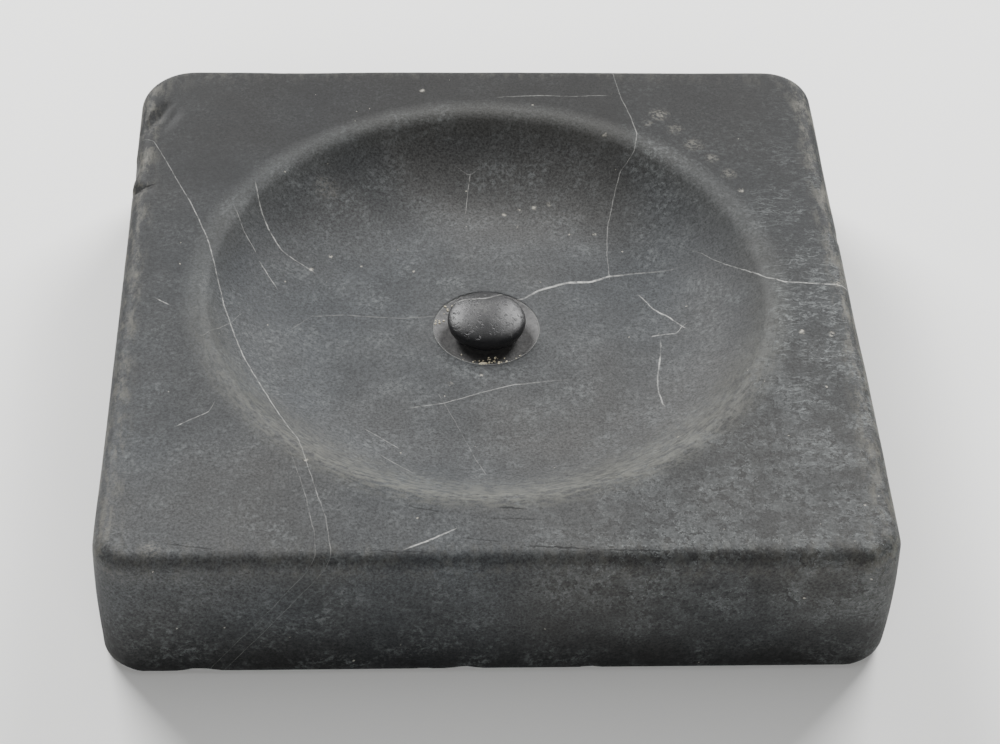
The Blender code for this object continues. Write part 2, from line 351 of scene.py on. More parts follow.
def knobTree(sizes, material):
    tree, size = shapeTree("domedKnob", sizes)
    grid, turn, share = ringGrid(tree, size["around"], knobRuns)
    domeTurn = putNode(tree, maths, [share["dome"], math.pi / 2], operation="MULTIPLY")
    power = putNode(tree, maths, [2.0, size["flatness"]], operation="DIVIDE")
    domeSine = putNode(tree, maths, [domeTurn], operation="SINE")
    domeOut = putNode(tree, maths, [domeSine, power], operation="POWER")
    domeCosine = putNode(tree, maths, [domeTurn], operation="COSINE")
    domeCosine = putNode(tree, maths, [domeCosine, 0.0], operation="MAXIMUM")
    domeUp = putNode(tree, maths, [domeCosine, power], operation="POWER")
    tuckTurn = putNode(tree, maths, [share["tuck"], math.pi / 2], operation="MULTIPLY")
    tuckCosine = putNode(tree, maths, [tuckTurn], operation="COSINE")
    tuckIn = putNode(tree, maths, [1.0, tuckCosine], operation="SUBTRACT")
    tuckDown = putNode(tree, maths, [tuckTurn], operation="SINE")
    overhang = putNode(tree, maths, [size["radius"], size["stem"]], operation="SUBTRACT")
    radius = putNode(tree, maths, [size["radius"], domeOut], operation="MULTIPLY")
    tuckIn = putNode(tree, maths, [overhang, tuckIn], operation="MULTIPLY")
    radius = putNode(tree, maths, [radius, tuckIn], operation="SUBTRACT")
    footLeft = putNode(tree, maths, [1.0, share["foot"]], operation="SUBTRACT")
    radius = putNode(tree, maths, [radius, footLeft], operation="MULTIPLY")
    domeRise = putNode(tree, maths, [size["crown"], size["waist"]], operation="SUBTRACT")
    height = putNode(tree, maths, [domeRise, domeUp, size["waist"]], operation="MULTIPLY_ADD")
    tuckFall = putNode(tree, maths, [size["waist"], size["neck"]], operation="SUBTRACT")
    tuckFall = putNode(tree, maths, [tuckFall, tuckDown], operation="MULTIPLY")
    height = putNode(tree, maths, [height, tuckFall], operation="SUBTRACT")
    stemRun = putNode(tree, maths, [size["neck"], size["foot"]], operation="SUBTRACT")
    stemFall = putNode(tree, maths, [stemRun, share["stem"]], operation="MULTIPLY")
    height = putNode(tree, maths, [height, stemFall], operation="SUBTRACT")
    shape = closeSurface(tree, grid, turnedSurface(tree, turn, radius, height))
    place = putNode(tree, "GeometryNodeInputPosition")
    wave = putNode(tree, noise, {"Vector": place, "Scale": 1 / (5.0 * mm), "Detail": 1.0})
    wave = putNode(tree, maths, [wave, 0.5], operation="SUBTRACT")
    wave = putNode(tree, maths, [wave, size["handWave"]], operation="MULTIPLY")
    normal = putNode(tree, "GeometryNodeInputNormal")
    nudge = putNode(tree, vectors, {0: normal, 3: wave}, operation="SCALE")
    shape = putNode(tree, "GeometryNodeSetPosition", {"Geometry": shape, "Offset": nudge})
    shape = putNode(tree, "GeometryNodeSetShadeSmooth", [shape])
    finishTree(tree, shape, material)
    return tree


beddingSizes = {
    "outer": slabSizes["seamRadius"] - 0.02 * mm,
    "inner": knobSizes["stem"] + 0.05 * mm,
    "top": beddingHigh.z,
    "foot": beddingLow.z,
    "moat": 0.6 * mm,  # how far the top is hollowed
    "gritHeight": 0.14 * mm,
    "grainLow": 0.05 * mm,
    "grainHigh": 0.17 * mm,
    "grainsPerSquare": 30e6,  # loose grains in each square metre where they lie thickest
    "around": 360,
}
grainPatches = [  # where loose grains lie in the moat: middle and half lengths in mm, share
    ((-0.9, -7.1), (0.9, 0.40), 1.0), ((1.6, -6.9), (2.2, 0.45), 0.30),
    ((-6.6, 2.4), (0.7, 1.5), 0.16), ((-5.4, 4.6), (1.0, 0.8), 0.10), ((0.0, -6.6), (6.0, 1.4), 0.05),
]
beddingRuns = {"wall": 4, "base": 3, "bore": 4, "moat": 26}


def beddingTree(sizes, material):
    tree, size = shapeTree("beddingRing", sizes)
    grid, turn, share = ringGrid(tree, size["around"], beddingRuns)
    span = putNode(tree, maths, [size["outer"], size["inner"]], operation="SUBTRACT")
    across = putNode(tree, maths, [share["moat"], share["base"]], operation="SUBTRACT")
    radius = putNode(tree, maths, [span, across, size["outer"]], operation="MULTIPLY_ADD")
    fullDrop = putNode(tree, maths, [size["top"], size["foot"]], operation="SUBTRACT")
    boreRise = putNode(tree, maths, [fullDrop, size["moat"]], operation="SUBTRACT")
    height = putNode(tree, maths, [fullDrop, share["wall"]], operation="MULTIPLY")
    height = putNode(tree, maths, [size["top"], height], operation="SUBTRACT")
    height = putNode(tree, maths, [boreRise, share["bore"], height], operation="MULTIPLY_ADD")
    hollow = putNode(tree, maths, [share["moat"], 2.0], operation="POWER")
    height = putNode(tree, maths, [size["moat"], hollow, height], operation="MULTIPLY_ADD")
    shape = closeSurface(tree, grid, turnedSurface(tree, turn, radius, height))
    place = putNode(tree, "GeometryNodeInputPosition")
    grit = putNode(tree, noise, {"Vector": place, "Scale": 1 / (0.9 * mm), "Detail": 2.0})
    grit = putNode(tree, maths, [grit, 0.62], operation="SUBTRACT")  # mostly below the smooth section
    grit = putNode(tree, maths, [grit, size["gritHeight"]], operation="MULTIPLY")
    nudge = putNode(tree, vectors, {0: (0.0, 0.0, 1.0), 3: grit}, operation="SCALE")
    shape = putNode(tree, "GeometryNodeSetPosition", {"Geometry": shape, "Offset": nudge})

    # pale grains of grit that lie loose in the moat, at the front and at the left
    part = putNode(tree, splitPlace, [place])
    thick = 0.0
    for middle, halves, share in grainPatches:
        away = putNode(tree, vectors, [place, (-middle[0] * mm, -middle[1] * mm, 0.0)], operation="ADD")
        away = putNode(
            tree, vectors, [away, (1 / (halves[0] * mm), 1 / (halves[1] * mm), 0.0)], operation="MULTIPLY")
        away = putNode(tree, vectors, [away], operation="LENGTH").outputs["Value"]
        near = putNode(tree, mapRange, [away, 0.4, 1.3, share, 0.0])
        thick = putNode(tree, maths, [near, thick], operation="MAXIMUM")
    upper = putNode(tree, maths, [part.outputs["Z"], beddingHigh.z - 0.8 * mm], operation="GREATER_THAN")
    thick = putNode(tree, maths, [thick, upper], operation="MULTIPLY")
    thick = putNode(tree, maths, [thick, size["grainsPerSquare"]], operation="MULTIPLY")
    spots = putNode(
        tree, "GeometryNodeDistributePointsOnFaces", {"Mesh": shape, "Density": thick, "Seed": 7})
    ball = putNode(tree, "GeometryNodeMeshIcoSphere", {"Radius": 1.0, "Subdivisions": 2})
    lumps = putNode(
        tree, "FunctionNodeRandomValue", {0: (-0.2, -0.2, -0.2), 1: (0.2, 0.2, 0.2), "Seed": 3},
        data_type="FLOAT_VECTOR")
    lumpy = putNode(tree, "GeometryNodeSetPosition", {"Geometry": ball, "Offset": lumps})
    grainSize = putNode(
        tree, "FunctionNodeRandomValue", {2: size["grainLow"], 3: size["grainHigh"], "Seed": 5})
    grains = putNode(
        tree, "GeometryNodeInstanceOnPoints", {"Points": spots, "Instance": lumpy, "Scale": grainSize})
    grains = putNode(tree, "GeometryNodeRealizeInstances", [grains])
    grains = putNode(
        tree, "GeometryNodeStoreNamedAttribute", {"Geometry": grains, "Name": "pale", "Value": 1.0})
    joined = tree.nodes.new("GeometryNodeJoinGeometry")
    for piece in (shape, grains):
        tree.links.new(piece.outputs[0], joined.inputs[0])
    shape = putNode(tree, "GeometryNodeSetShadeSmooth", [joined])
    finishTree(tree, shape, material)
    return tree


# each vein is a thin upright sheet through the stone, so it crosses every piece that it meets: the axis
# that it runs along, its width in mm, and its points (along, across, weight) in mm; a weight of 0 ends it
veins = {
    "longHairline": ("Y", 0.20, [
        (-50, -20.4, 0.28), (-42.5, -21.4, 0.5), (-33.5, -23.8, 0.42), (-27.1, -25.4, 0.6),
        (-16.9, -29.6, 0.85), (-9.2, -33.2, 0.95), (-0.8, -35.9, 0.95), (9.8, -38.4, 0.9),
        (16.8, -40.8, 0.75), (23.4, -43.6, 0.55), (32.2, -47.5, 0.5), (33.2, -50, 0.4), (34, -53, 0)]),
    "longTwin": ("Y", 0.18, [
        (-50, -22.4, 0.28), (-44.8, -22.8, 0.4), (-39.4, -23.8, 0.4), (-33.1, -25.4, 0.3),
        (-29, -26.8, 0)]),
    "crownVein": ("X", 0.55, [
        (-27.9, -2.1, 0), (-26.2, 0.1, 0.12), (-24.2, 2.5, 0.12), (-20.1, 2.9, 0.14), (-11.9, 2.1, 0.1),
        (-7, 2.4, 0.1), (-5.6, 2.7, 0.25), (-3.1, 3.1, 0.35), (-0.1, 2.9, 0.35), (0.8, 3.4, 0.3),
        (1.9, 4.2, 0.3), (3.9, 5.7, 0.35), (5.5, 6.1, 0.4), (7.6, 7.8, 0.6), (11.7, 9.5, 0.75),
        (15, 9.6, 0.7), (17.8, 10.9, 0.55), (21.5, 11.2, 0.2), (26.6, 10.8, 0.14), (30.7, 11.2, 0)]),
    "backVein": ("Y", 0.24, [
        (10, 17.8, 0), (11, 17.8, 0.4), (15.7, 17.8, 0.3), (20.5, 18.2, 0.4), (25.1, 19.2, 0.5),
        (28.7, 20.4, 0.5), (30.7, 22.5, 0.5), (33.8, 23, 0.55), (37.7, 22.4, 0.4), (42.4, 21.2, 0.35),
        (50, 20.3, 0.3)]),
    "rightVein": ("X", 0.24, [
        (27.7, 14.6, 0), (30.7, 12.2, 0.35), (33.3, 9, 0.5), (36.5, 5.2, 0.9), (38.6, 2.2, 1),
        (40.9, 1.1, 1), (48, 0.5, 0.9), (50.5, 0.3, 0.6)]),
    "dishArc": ("Y", 0.26, [
        (10.9, -23.9, 0), (11.2, -24.2, 0.9), (11.5, -24.6, 1), (13.6, -28.5, 1), (16.1, -30.4, 0.95),
        (19.3, -31.8, 0.7), (22, -32.3, 0.5), (23.4, -32.5, 0)]),
    "dashedArc": ("Y", 0.20, [
        (6.3, -28.9, 0), (7.2, -29.4, 0.8), (10.1, -31.4, 1), (10.5, -31.6, 0), (11.3, -31.9, 0),
        (11.9, -32.2, 0.8), (14.2, -33.8, 0.6), (16.5, -34.8, 0.5), (17.8, -35.4, 0)]),
    "tinyForkLeft": ("X", 0.20, [
        (-3.5, 32, 0), (-3.1, 31.7, 0.5), (-1.7, 30.8, 0.6), (-1, 31.1, 0.4), (-0.5, 31.6, 0.3),
        (-0.1, 31.9, 0)]),
    "tinyForkStem": ("Y", 0.20, [
        (24, -2.4, 0), (24.5, -2.3, 0.5), (27.8, -1.9, 0.45), (30.8, -1.5, 0.6), (31.2, -1.4, 0)]),
    "zigzagDown": ("X", 0.34, [
        (21.6, 6.9, 0), (22.1, 6.3, 0.7), (23.5, 3.7, 0.8), (25.5, 1.7, 1), (27.1, -0.5, 1),
        (27.6, -1.2, 0)]),
    "zigzagBack": ("X", 0.26, [
        (22.6, -2, 0), (23.1, -1.8, 1), (24.8, -1.7, 0.6), (26.3, -1.8, 0.8), (27.1, -0.6, 0.6),
        (28, -0.1, 0)]),
    "zigzagTail": ("Y", 0.28, [
        (-16.9, 23.3, 0), (-16.3, 23.1, 1), (-13.7, 22.8, 0.5), (-12, 22.8, 0.8), (-9.3, 23.1, 0.5),
        (-7, 23.5, 0.9), (-5.2, 23.8, 0.2), (-3.7, 23.9, 0.8), (-2.8, 24, 0)]),
    "lowerVein": ("X", 0.24, [
        (-11, -15.8, 0), (-9.9, -15.5, 0.5), (-6.2, -14.8, 0.6), (-1.4, -12.9, 0.5), (3.5, -11.3, 0.6),
        (9.6, -10.5, 0.3), (12, -10.3, 0)]),
    "leftCrack": ("X", 0.22, [
        (-40.8, -26.5, 0), (-40.3, -26.1, 0.8), (-36.8, -23.8, 0.7), (-36.2, -22.2, 0.6), (-36, -21.6, 0)]),
    "frontScratch": ("X", 0.30, [
        (-11.8, -47.9, 0), (-11.2, -47.6, 0.8), (-8, -46, 1), (-5.7, -44.7, 0.7), (-5, -44.3, 0)]),
    "dishCrack": ("X", 0.18, [
        (-38.4, -9.3, 0), (-38.1, -9.1, 0.5), (-34.9, -3.5, 0.6), (-33.7, -0.7, 0.5), (-33.2, -0, 0)]),
    "frontDishTick": ("X", 0.20, [
        (-17, -20, 0), (-16.4, -20.5, 0.6), (-12.4, -23.8, 0.6), (-11.9, -24.4, 0)]),
    "frontDishTickTwo": ("X", 0.20, [
        (-15, -25.8, 0), (-14.4, -26.4, 0.6), (-10.7, -29.9, 0.5), (-10.2, -30.6, 0)]),
    "leftTick": ("X", 0.24, [(-45, -1.8, 0), (-44.7, -2, 0.9), (-43.3, -3, 0.8), (-42.9, -3.3, 0)]),
    "dishScratch": ("Y", 0.16, [
        (-29.9, -1, 0), (-29.3, -1.1, 0.4), (-20.6, -3.9, 0.25), (-13.3, -6.7, 0.4), (-12.9, -6.9, 0)]),
    "backStreak": ("X", 0.40, [
        (2, 42.2, 0), (4, 42.6, 0.2), (9, 42.9, 0.3), (14, 42.6, 0.16), (18, 42.9, 0.25), (20, 42.9, 0)]),
}
veinLook = {
    "shake": 0.28 * mm,  # how far the veins wander, in slow and in quick steps
    "quickShake": 0.14 * mm,
    "frontLean": 0.70,  # sideways run of the veins for each mm down the front face
    "thinner": 0.62,  # share of the widths above that is drawn
    "curveSpan": 100,  # mm along a vein that its curve's run from 0 to 1 stands for
}


def veinGroup():  # shared by every stone, in the object's own coordinates
    tree = bpy.data.node_groups.new("calciteVeins", "ShaderNodeTree")
    tree.interface.new_socket("Vein", in_out="OUTPUT", socket_type="NodeSocketFloat")
    place = putNode(tree, "ShaderNodeTexCoord").outputs["Object"]
    shaken = place
    for step, reach in ((2.4, veinLook["shake"]), (0.45, veinLook["quickShake"])):
        shake = putNode(tree, noise, {"Vector": place, "Scale": 1 / (step * mm), "Detail": 2.0})
        shake = putNode(tree, vectors, [shake.outputs["Color"], (0.5, 0.5, 0.5)], operation="SUBTRACT")
        shaken = putNode(tree, vectors, [shake, (reach, reach, reach), shaken], operation="MULTIPLY_ADD")
    part = putNode(tree, splitPlace, [shaken])
    below = putNode(tree, maths, [slabHigh.z, part.outputs["Z"]], operation="SUBTRACT")
    frontFace = putNode(
        tree, mapRange, [part.outputs["Y"], -46.5 * mm, -49.3 * mm, 0.0, veinLook["frontLean"]])
    x = putNode(tree, maths, [below, frontFace, part.outputs["X"]], operation="MULTIPLY_ADD")
    share, span = {}, veinLook["curveSpan"]
    for axis, value in (("X", x), ("Y", part.outputs["Y"])):
        share[axis] = putNode(tree, maths, [value, 1 / (span * mm), 0.5], operation="MULTIPLY_ADD")
    swell = putNode(
        tree, noise, {"Vector": place, "Scale": 1 / (1.3 * mm), "Detail": 3.0, "Roughness": 0.7})
    swell = putNode(tree, mapRange, [swell, 0.36, 0.60, 0.18, 1.25])
    total = 0.0
    for along, width, points in veins.values():
        across = "Y" if along == "X" else "X"
        first, last = points[0], points[-1]
        points = [(first[0] - 2, first[1], 0), *points, (last[0] + 2, last[1], 0)]
        curves = []
        # where the vein runs, then how heavy it is
        for column, step, lift in ((1, span, 0.5), (2, 1, 0.0)):
            node = putNode(tree, "ShaderNodeFloatCurve", {1: share[along]})
            line = node.mapping.curves[0]
            while len(line.points) < len(points):
                line.points.new(0.5, 0.5)
            for point, spot in zip(line.points, points):
                point.location = (spot[0] / span + 0.5, spot[column] / step + lift)
                point.handle_type = "VECTOR"
            node.mapping.use_clip = False
            node.mapping.extend = "HORIZONTAL"
            node.mapping.update()
            curves.append(node)
        off = putNode(tree, maths, [share[across], curves[0]], operation="SUBTRACT")
        off = putNode(tree, maths, [off], operation="ABSOLUTE")
        width = width * veinLook["thinner"] / span
        wide = putNode(tree, mapRange, [curves[1], 0.0, 1.0, 0.4 * width, width])
        off = putNode(tree, maths, [off, wide], operation="DIVIDE")
        line = putNode(tree, mapRange, [off, 0.2, 1.0, 1.0, 0.0], interpolation_type="SMOOTHSTEP")
        whitest = 0.35 + 0.65 * min(1.0, width * 300)  # a wide vein is whiter as well
        heavy = putNode(tree, mapRange, [curves[1], 0.02, 1.0, 0.0, whitest])
        line = putNode(tree, maths, [line, heavy], operation="MULTIPLY")
        total = putNode(tree, maths, [line, total], operation="MAXIMUM")
    total = putNode(tree, maths, [total, swell], operation="MULTIPLY")
    putNode(tree, "NodeGroupOutput", [total])
    return tree


stoneLook = {
    "stone": "#3B3C3D",
    "cool": "#373C40",  # clouds of a bluer and of a browner grey
    "warm": "#3F3D39",
    "bloom": "#7A7E7E",  # thin pale film of salts in the pores
    "scuffAndHighlight": "#68665E",  # rubbed arrises, with a painted highlight along the left arris
    "lip": "#64645E",  # rubbed lip of the dish, with a painted highlight along it
    "vein": "#B9B9B5",  # calcite
    "crumb": "#B0ACA0",
    "toolMark": "#0C0C0D",
    "grainSpan": 0.34,  # mm; the real grain is finer and wouldn't show
    "roughness": 0.62,
    "specular": 0.16,  # low, because the pores of honed stone swallow light
}
crumbs = [  # pale crystals on the top: x, y and reach in mm, strength
    (-21.7, 14.6, 0.38, 0.8), (-17.4, 13.1, 0.25, 0.6), (16.2, 19.5, 0.36, 0.9), (12.7, 19.6, 0.30, 0.7),
    (-8.4, 44.1, 0.55, 0.6), (18.3, 33.9, 0.45, 0.5), (-22.4, 25.8, 2.2, 0.11), (5.0, 21.6, 0.40, 0.6),
    (3.4, 24.0, 0.40, 0.6), (5.6, 24.6, 0.40, 0.6), (7.8, 25.1, 0.45, 0.6), (10.0, 25.5, 0.40, 0.6),
    (-24.5, 11.5, 0.36, 0.8), (26.7, 38.4, 1.8, 0.2), (28.8, 34.9, 1.5, 0.13), (31.2, 31.4, 1.8, 0.15),
    (33.6, 28.2, 1.2, 0.15), (35.6, 24.6, 1.4, 0.15), (24.8, 36.2, 1.0, 0.12), (37.0, 20.9, 0.60, 0.6),
    (-24.0, -32.6, 0.32, 0.9), (-42.6, -47.6, 1.6, 0.15), (42.0, -9.0, 0.55, 0.8), (46.0, -9.5, 0.50, 0.8),
    (48.2, 0.6, 0.70, 0.7), (-1.0, -9.5, 0.30, 0.7), (-5.2, -11.0, 0.40, 0.5),
]
# dark tool marks along the front: x of both ends, y of both ends, half width in mm, depth of tone
gouges = [
    (-12.0, -6.7, -40.4, -41.8, 0.16, 0.55), (-0.1, 3.4, -41.0, -41.3, 0.22, 0.75),
    (-2.2, 5.9, -42.8, -43.2, 0.15, 0.5), (2.7, 11.0, -47.5, -48.1, 0.20, 0.65),
    (-4.9, 0.2, -46.0, -46.9, 0.14, 0.45), (-41.1, -34.3, -46.7, -47.8, 0.18, 0.55),
    (12.0, 21.0, -48.2, -48.5, 0.16, 0.5), (-17.0, -8.0, -48.0, -48.4, 0.15, 0.4),
    (-50.5, -46.0, 21.0, 22.4, 0.24, 0.8),
]


def newMaterial(name):
    material = bpy.data.materials.new(name)
    material.use_nodes = True
    return material, material.node_tree, material.node_tree.nodes["Principled BSDF"]


def markSpots(tree, warped):  # the listed crumbs, as one value
    part = putNode(tree, splitPlace, [warped])
    level = putNode(tree, joinPlace, [part.outputs["X"], part.outputs["Y"], 0.0])
    total = 0.0
    for x, y, reach, strength in crumbs:
        far = putNode(tree, vectors, [level, (x * mm, y * mm, 0.0)], operation="DISTANCE").outputs["Value"]
        spot = putNode(tree, mapRange, [far, 0.3 * reach * mm, reach * mm, strength, 0.0])
        total = putNode(tree, maths, [spot, total], operation="MAXIMUM")
    onTop = putNode(tree, mapRange, [part.outputs["Z"], 10 * mm, 12 * mm, 0.0, 1.0])
    return putNode(tree, maths, [total, onTop], operation="MULTIPLY")


def markGouges(tree, warped):  # the tool marks, as one value
    part = putNode(tree, splitPlace, [warped])
    total = 0.0
    for start, end, startY, endY, half, strength in gouges:
        line = putNode(tree, mapRange, [part.outputs["X"], start * mm, end * mm, startY * mm, endY * mm])
        off = putNode(tree, maths, [part.outputs["Y"], line], operation="SUBTRACT")
        off = putNode(tree, maths, [off], operation="ABSOLUTE")
        mark = putNode(tree, mapRange, [off, 0.3 * half * mm, half * mm, strength, 0.0])
        far = putNode(tree, maths, [part.outputs["X"], (start + end) / 2 * mm], operation="SUBTRACT")
        far = putNode(tree, maths, [far], operation="ABSOLUTE")
        reach = (end - start) / 2 * mm
        ends = putNode(tree, mapRange, [far, 0.6 * reach, reach, 1.0, 0.0])
        mark = putNode(tree, maths, [mark, ends], operation="MULTIPLY")
        total = putNode(tree, maths, [mark, total], operation="MAXIMUM")
    onTop = putNode(tree, mapRange, [part.outputs["Z"], 15 * mm, 18 * mm, 0.0, 1.0])
    return putNode(tree, maths, [total, onTop], operation="MULTIPLY")


def honedBasalt(veinTree):
    # basalt, honed with fine grit: matt charcoal with a faint sheen, cloudy, with a fine grain
    stone, tree, shader = newMaterial("honedBasalt")
    look = stoneLook
    place = putNode(tree, "ShaderNodeTexCoord").outputs["Object"]
    part = putNode(tree, splitPlace, [place])
    flat = putNode(tree, vectors, [place, (1.0, 1.0, 0.0)], operation="MULTIPLY")
    fromAxis = putNode(tree, vectors, [flat], operation="LENGTH").outputs["Value"]
    warp = putNode(tree, noise, {"Vector": place, "Scale": 1 / (0.9 * mm), "Detail": 3.0, "Roughness": 0.6})
    warp = putNode(tree, vectors, [warp.outputs["Color"], (0.5, 0.5, 0.5)], operation="SUBTRACT")
    smallWarp = putNode(
        tree, vectors, [warp, (0.8 * mm, 0.8 * mm, 0.8 * mm), place], operation="MULTIPLY_ADD")
    bigWarp = putNode(
        tree, vectors, [warp, (2.0 * mm, 2.0 * mm, 2.0 * mm), place], operation="MULTIPLY_ADD")

    # cloudy tone and tint
    cloud = putNode(
        tree, noise, {"Vector": place, "Scale": 1 / (15 * mm), "Detail": 6.0, "Roughness": 0.62})
    shade = putNode(tree, mapRange, [cloud, 0.3, 0.7, 0.76, 1.14])
    tone = putNode(tree, noise, {"Vector": place, "Scale": 1 / (36 * mm), "Detail": 3.0})
    tone = putNode(tree, mapRange, [tone, 0.35, 0.65, 0.0, 1.0])
    tint = putNode(
        tree, mixer, {0: tone, 6: hexColor(look["cool"]), 7: hexColor(look["warm"])}, data_type="RGBA")
    color = putNode(
        tree, mixer, {0: 0.35, 6: hexColor(look["stone"]), 7: tint.outputs[2]}, data_type="RGBA")

    # painted shade and painted light: darker toward the base and the back, paler just under the top arris
    paintedSideShade = putNode(
        tree, mapRange, [part.outputs["Z"], 1 * mm, 13.2 * mm, 0.26, 1.0], interpolation_type="SMOOTHSTEP")
    facing = putNode(tree, splitPlace, [putNode(tree, "ShaderNodeTexCoord").outputs["Normal"]])
    upright = putNode(tree, mapRange, [facing.outputs["Z"], 0.2, 0.7, 1.0, 0.0])
    # painted light: upright faces paler just under the top arris
    paintedLightUnderArris = putNode(tree, mapRange, [part.outputs["Z"], 11 * mm, 19 * mm, 0.0, 0.30])
    paintedLightUnderArris = putNode(tree, maths, [paintedLightUnderArris, upright, 1.0], operation="MULTIPLY_ADD")
    paintedSideShade = putNode(tree, maths, [paintedSideShade, paintedLightUnderArris], operation="MULTIPLY")
    # painted shade: the stone outside the dish darker toward the back
    paintedBackShade = putNode(tree, mapRange, [part.outputs["Y"], -44 * mm, 33 * mm, 0.0, 0.72])
    offDish = putNode(tree, mapRange, [fromAxis, 38.4 * mm, 42 * mm, 0.0, 1.0])
    paintedBackShade = putNode(tree, maths, [paintedBackShade, offDish], operation="MULTIPLY")
    paintedBackShade = putNode(tree, maths, [1.0, paintedBackShade], operation="SUBTRACT")
    shade = putNode(tree, maths, [shade, paintedSideShade], operation="MULTIPLY")
    grain = putNode(
        tree, noise,
        {"Vector": place, "Scale": 1 / (look["grainSpan"] * mm), "Detail": 4.0, "Roughness": 0.8})
    grainShade = putNode(tree, mapRange, [grain, 0.35, 0.65, 0.45, 1.55])
    shade = putNode(tree, maths, [shade, grainShade], operation="MULTIPLY")
    color = putNode(tree, vectors, {0: color.outputs[2], 3: shade}, operation="SCALE")

    # bloom: a pale film broken by dark islands a millimetre or two across, on the right and front right
    islands = putNode(
        tree, noise, {"Vector": bigWarp, "Scale": 1 / (1.5 * mm), "Detail": 3.5, "Roughness": 0.6})
    film = putNode(tree, mapRange, [islands, 0.47, 0.55, 0.0, 0.20], interpolation_type="SMOOTHSTEP")
    rim = putNode(tree, maths, [islands, 0.50], operation="SUBTRACT")
    rim = putNode(tree, maths, [rim], operation="ABSOLUTE")
    rim = putNode(tree, mapRange, [rim, 0.0, 0.022, 0.58, 0.0])
    film = putNode(tree, maths, [rim, film], operation="ADD")
    fleck = putNode(
        tree, noise, {"Vector": place, "Scale": 1 / (0.6 * mm), "Detail": 4.0, "Roughness": 0.7})
    fleck = putNode(tree, mapRange, [fleck, 0.40, 0.62, 0.35, 1.45])
    slant = putNode(tree, vectors, [place, (0.8, -0.6, 0.0)], operation="DOT_PRODUCT").outputs["Value"]
    filmZone = putNode(
        tree, mapRange, [slant, 22 * mm, 44 * mm, 0.08, 1.0], interpolation_type="SMOOTHSTEP")
    patch = putNode(tree, noise, {"Vector": place, "Scale": 1 / (7 * mm), "Detail": 5.0, "Roughness": 0.7})
    filmPatch = putNode(tree, mapRange, [patch, 0.40, 0.58, 0.12, 1.0])
    offDish = putNode(tree, mapRange, [fromAxis, 33 * mm, 40 * mm, 0.35, 1.0])
    onTop = putNode(tree, mapRange, [part.outputs["Z"], 6 * mm, 16 * mm, 0.25, 1.0])
    for factor in (fleck, filmPatch, filmZone, offDish, onTop):
        film = putNode(tree, maths, [film, factor], operation="MULTIPLY")

    # the bare stone among the film is darker
    bare = putNode(tree, maths, [filmZone, offDish], operation="MULTIPLY")
    bare = putNode(tree, maths, [bare, onTop], operation="MULTIPLY")
    bare = putNode(tree, maths, [bare, -0.22, 1.0], operation="MULTIPLY_ADD")
    color = putNode(tree, vectors, {0: color, 3: bare}, operation="SCALE")

    # threads: fine pale scratches, mostly sideways, on the right margin
    threadPlace = putNode(tree, vectors, [smallWarp, (0.42, 1.25, 1.0)], operation="MULTIPLY")
    threads = putNode(
        tree, noise, {"Vector": threadPlace, "Scale": 1 / (1.2 * mm), "Detail": 2.0, "Distortion": 0.8})
    threads = putNode(tree, maths, [threads, 0.5], operation="SUBTRACT")
    threads = putNode(tree, maths, [threads], operation="ABSOLUTE")
    threads = putNode(tree, mapRange, [threads, 0.0, 0.038, 1.0, 0.0])
    threadZone = putNode(
        tree, mapRange, [part.outputs["X"], 36 * mm, 41 * mm, 0.0, 1.0], interpolation_type="SMOOTHSTEP")
    threadEnd = putNode(tree, mapRange, [part.outputs["Y"], -36 * mm, -14 * mm, 0.25, 1.0])
    threadBack = putNode(tree, mapRange, [part.outputs["Y"], 20 * mm, 40 * mm, 1.0, 0.35])
    threadPatch = putNode(tree, mapRange, [patch, 0.42, 0.58, 0.12, 1.0])
    offDish = putNode(tree, mapRange, [fromAxis, 37.5 * mm, 40 * mm, 0.0, 1.0])
    for factor in (threadZone, threadEnd, threadBack, threadPatch, offDish):
        threads = putNode(tree, maths, [threads, factor], operation="MULTIPLY")

    # frost: a fine pale speckle in loose patches everywhere
    frost = putNode(
        tree, noise, {"Vector": smallWarp, "Scale": 1 / (0.7 * mm), "Detail": 5.0, "Roughness": 0.75})
    frost = putNode(tree, mapRange, [frost, 0.48, 0.64, 0.0, 0.42])
    frostPatch = putNode(tree, mapRange, [patch, 0.44, 0.66, 0.10, 1.0])
    backRight = putNode(
        tree, vectors, [place, (31 * mm, 31 * mm, 21 * mm)], operation="DISTANCE").outputs["Value"]
    backRight = putNode(tree, mapRange, [backRight, 3 * mm, 12 * mm, 0.9, 0.0])
    frostPatch = putNode(tree, maths, [frostPatch, backRight], operation="ADD")
    frost = putNode(tree, maths, [frost, frostPatch], operation="MULTIPLY")
    bloom = putNode(tree, maths, [film, frost], operation="MAXIMUM")
    bloom = putNode(tree, maths, [threads, 0.95, bloom], operation="MULTIPLY_ADD")
    color = putNode(tree, mixer, {0: bloom, 6: color, 7: hexColor(look["bloom"])}, data_type="RGBA")
    # the painted back shade darkens the colour over the bloom
    color = putNode(tree, vectors, {0: color.outputs[2], 3: paintedBackShade}, operation="SCALE")
